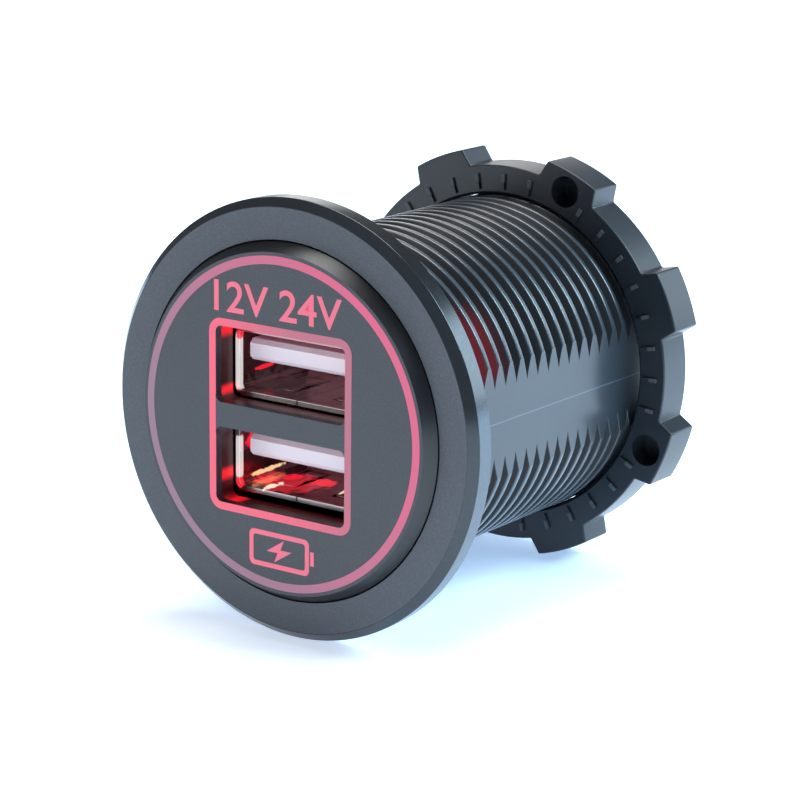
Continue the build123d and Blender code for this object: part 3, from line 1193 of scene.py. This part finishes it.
@dataclass
class RingNut:
    """Ring nut with lugs, blind holes and a ribbed front."""

    bore: float = 14.48
    ring: float = 17.1
    reach: float = 18.6
    lugs: int = 8
    root_half: float = 3.0
    tip_half: float = 2.68
    hole: float = 1.4
    hole_centre: float = 16.75
    hole_depth: float = 2.2
    hole_steps: int = 40
    lug_steps: int = 10
    ring_steps: int = 14
    ribs: int = 36
    rib_inner: float = 14.95
    rib_outer: float = 16.35
    rib_half: float = 0.15
    rib_height: float = 0.22
    rib_tip: float = 0.7
    tip_overlap: float = 0.05
    tip_wider: float = 0.02
    bore_edge: float = 0.25
    edge: float = 0.16

    def hole_turns(self) -> list[float]:
        """Gives the directions of the blind holes, in every second lug, in degrees."""
        return [360.0 / self.lugs * (lug + 0.5) for lug in range(1, self.lugs, 2)]

    def outline(self) -> list[Point]:
        """Gives the outline of the ring with its lugs.

        Returns:
            The points.
        """
        points: list[Point] = []
        pitch = 360.0 / self.lugs
        root = math.degrees(math.asin(self.root_half / self.ring))
        tip = math.degrees(math.asin(self.tip_half / self.reach))
        for lug in range(self.lugs):
            middle = pitch * (lug + 0.5)
            points += arc(self.reach, middle - tip, middle + tip, self.lug_steps)
            points += arc(self.ring, middle + root, middle + pitch - root, self.ring_steps)
        return points

    def build(self) -> None:
        """Builds the nut."""
        front, back = (corner.y for corner in node_box("ring_nut"))
        form = Form()
        form.prism([self.outline(), circle(self.bore)], front, back)
        form.flatten()
        form.soften(self.edge, 3, lambda middle: off_axis(middle) > self.ring - BAND)
        form.soften(self.bore_edge, 1, lambda middle: off_axis(middle) < self.bore + BAND)
        for turn in map(math.radians, self.hole_turns()):
            centre = (self.hole_centre * math.cos(turn), self.hole_centre * math.sin(turn))
            cut = Form()
            loops = [circle(self.hole, self.hole_steps, centre)]
            cut.prism(loops, front - PAST, front + self.hole_depth)
            form.carve(cut)
        # The ribs' outer tips get a paler finish, a painted highlight where the raised ribs catch
        # the light.
        tip = self.rib_outer - self.rib_tip
        self.add_ribs(form, self.rib_inner, tip, self.rib_half)
        form.paint(0, lambda centre: True)
        body = len(form.bm.faces)
        self.add_ribs(form, tip - self.tip_overlap, self.rib_outer, self.rib_half + self.tip_wider)
        form.bm.faces.ensure_lookup_table()
        for face in form.bm.faces[body:]:
            face.material_index = 1
        black = Moulded("nut_black", (0.013, 0.017, 0.023), 0.42, 0.2, 0.004, coat=0.5, ior=1.3)
        tip_highlight = Moulded("nut_rib_highlight", (0.07, 0.08, 0.09), 0.5)
        piece = form.piece("nut", black.material(), tip_highlight.material())
        settle(piece, "nut_plastic", "ring_nut", body=Body.NUT)

    def add_ribs(self, form: Form, inner: float, outer: float, half: float) -> None:
        """Adds the radial ribs on the front, or their tips.

        Args:
            form: The nut.
            inner: Radius where they start.
            outer: Radius where they end.
            half: Half their width.
        """
        front = node_box("ring_nut")[0].y
        pitch = 360.0 / self.ribs
        for rib in range(self.ribs):
            if min(abs(pitch * rib - hole) for hole in self.hole_turns()) < pitch / 2:
                continue
            bar = ops.create_cube(form.bm, size=1.0)["verts"]
            ops.scale(form.bm, verts=bar, vec=(outer - inner, self.rib_height * 2, half * 2))
            ops.translate(form.bm, verts=bar, vec=((inner + outer) / 2, front, 0))
            turn = Matrix.Rotation(-math.radians(pitch * rib), 3, "Y")
            ops.rotate(form.bm, verts=bar, cent=(0, 0, 0), matrix=turn)


@dataclass
class Rear:
    """Cap and terminals at the rear end."""

    cap_edge: float = 0.12
    blade_edge: float = 0.08

    def build(self) -> None:
        """Builds the rear end."""
        black = Moulded("cap_black", (0.018, 0.021, 0.026), 0.45, 0.16, 0.004).material()
        tinned = Sheet("tinned", (0.72, 0.72, 0.73), 0.3).material()
        recast("rear_cap", "cap", "barrel_plastic", self.cap_edge, black)
        for pole in ("positive", "negative"):
            recast(f"{pole}_terminal", f"{pole}_blade", "terminal_metal", self.blade_edge, tinned)


@dataclass
class Electronics:
    """Boards and components, closed in by the barrel."""

    def build(self) -> None:
        """Dresses the inner nodes."""
        board = Moulded("laminate", (0.02, 0.12, 0.06), 0.35, 0.5, 0.002).material()
        black = Moulded("component", (0.03, 0.03, 0.03), 0.5, 0.2, 0.003).material()
        can = Sheet("can", (0.75, 0.76, 0.78), 0.3).material()
        lamp = Moulded("lamp", (0.85, 0.8, 0.7), 0.4, 0.3, 0.001).material()
        gold = Sheet("pin_plate", (0.85, 0.62, 0.28), 0.25).material()
        finishes = {
            "port_board": board, "power_board": board, "leds": lamp, "header_pins": gold,
            "header_blocks": black, "inductors": black, "capacitors": can,
            "controller_chips": black, "chip_resistors": black,
        }
        for node, finish in finishes.items():
            dress(node, finish)


@dataclass(frozen=True)
class Panel:
    """Soft light: its place, aim and size in millimetres, its power in watts, its colour."""

    name: str
    place: Place
    aim: Place
    size: Point
    power: float
    colour: Colour

    def build(self) -> None:
        """Adds the light."""
        data = bpy.data.lights.new(self.name, "AREA")
        data.shape = "RECTANGLE"
        data.size, data.size_y = (side * MM for side in self.size)
        data.energy = self.power
        data.color = self.colour
        thing = put(self.name, data)
        start = Vector(self.place) * MM
        thing.location = start
        heading = start - Vector(self.aim) * MM
        thing.rotation_euler = heading.to_track_quat("Z", "Y").to_euler()


@dataclass
class Studio:
    """Floor, lights and camera."""

    camera_place: Place = (139.2, -180.5, 60.1)
    aim: Place = (12.06, -3.4, 4.10)
    roll: float = 0.653
    lens: float = 129.1
    sensor: float = 36.0
    clip: Point = (0.01, 20.0)
    floor_size: float = 2400.0
    floor_gap: float = 0.02
    surroundings: Colour = (0.92, 0.96, 1.0)
    surroundings_strength: float = 0.14
    panels: tuple[Panel, ...] = (
        Panel("key", (-80, 150, 620), (0, 10, 0), (460, 380), 4.6, (1.0, 1.0, 1.0)),
        Panel("window", (430, 200, 400), (0, 15, 0), (300, 260), 5.6, (0.6, 0.84, 1.0)),
        Panel("horizon", (300, 520, 160), (0, 15, 0), (320, 280), 0.9, (0.72, 0.89, 1.0)),
        Panel("back", (-360, 500, 170), (0, 10, 0), (360, 220), 0.4, (1.0, 0.98, 0.96)),
        Panel("front", (-380, -470, 130), (0, 0, -4), (340, 260), 0.6, (0.98, 0.98, 1.0)),
    )

    def camera(self) -> None:
        """Sets the camera."""
        place = Vector(self.camera_place)
        level = (place - Vector(self.aim)).to_track_quat("Z", "Y").to_matrix()
        turn = level @ Matrix.Rotation(math.radians(self.roll), 3, "Z")
        data = bpy.data.cameras.new("camera")
        data.lens = self.lens
        data.sensor_width = self.sensor
        data.clip_start, data.clip_end = self.clip
        thing = put("camera", data)
        thing.matrix_world = Matrix.Translation(place * MM) @ turn.to_4x4()
        bpy.context.scene.camera = thing

    def floor(self) -> None:
        """Lays the floor under the bezel's rim and the two lowest lugs."""
        rim = node_box("trim_ring")[0].z
        lug_low, lug_high = node_box("ring_nut")
        tilt = Matrix.Rotation(math.atan2(lug_low.z - rim, lug_high.y), 3, "X")
        form = Form()
        ops.create_grid(form.bm, x_segments=1, y_segments=1, size=self.floor_size / 2)
        ops.rotate(form.bm, verts=form.bm.verts, cent=(0, 0, 0), matrix=tilt)
        ops.translate(form.bm, verts=form.bm.verts, vec=(0, 0, rim - self.floor_gap))
        recipe = Recipe("floor")
        grain = recipe.noise(30.0)
        # Near the front the floor's glow is painted whiter, painted light that lifts the shadow
        # under the bezel.
        near = recipe.along("Y").fade(3.0, -3.0)
        finish = recipe.surface(
            Base_Color=recipe.blend(grain, (0.80, 0.87, 0.93), (0.82, 0.89, 0.95)),
            Roughness=0.55,
            Emission_Color=recipe.blend(near, (0.45, 0.66, 1.0), (0.74, 0.83, 0.98)),
            Emission_Strength=0.7,
        )
        form.piece("floor", finish)

    def world(self) -> None:
        """Sets the plain pale surroundings."""
        world = bpy.data.worlds.new("surroundings")
        bpy.context.scene.world = world
        world.use_nodes = True
        inputs = world.node_tree.nodes["Background"].inputs
        inputs["Color"].default_value = (*self.surroundings, 1.0)
        inputs["Strength"].default_value = self.surroundings_strength

    def build(self) -> None:
        """Builds the studio."""
        self.camera()
        self.floor()
        self.world()
        for panel in self.panels:
            panel.build()
        bpy.context.scene.view_settings.view_transform = "Standard"


def main() -> None:
    """Builds the part's pieces and the studio."""
    logging.basicConfig(level=logging.INFO, format="%(relativeCreated)6.0f ms  %(message)s")
    socket = (Bezel(), Face(), Print(), Ports(), Barrel(), RingNut(), Rear(), Electronics())
    for assembly in (*socket, Studio()):
        assembly.build()


if __name__ == "__main__":
    main()
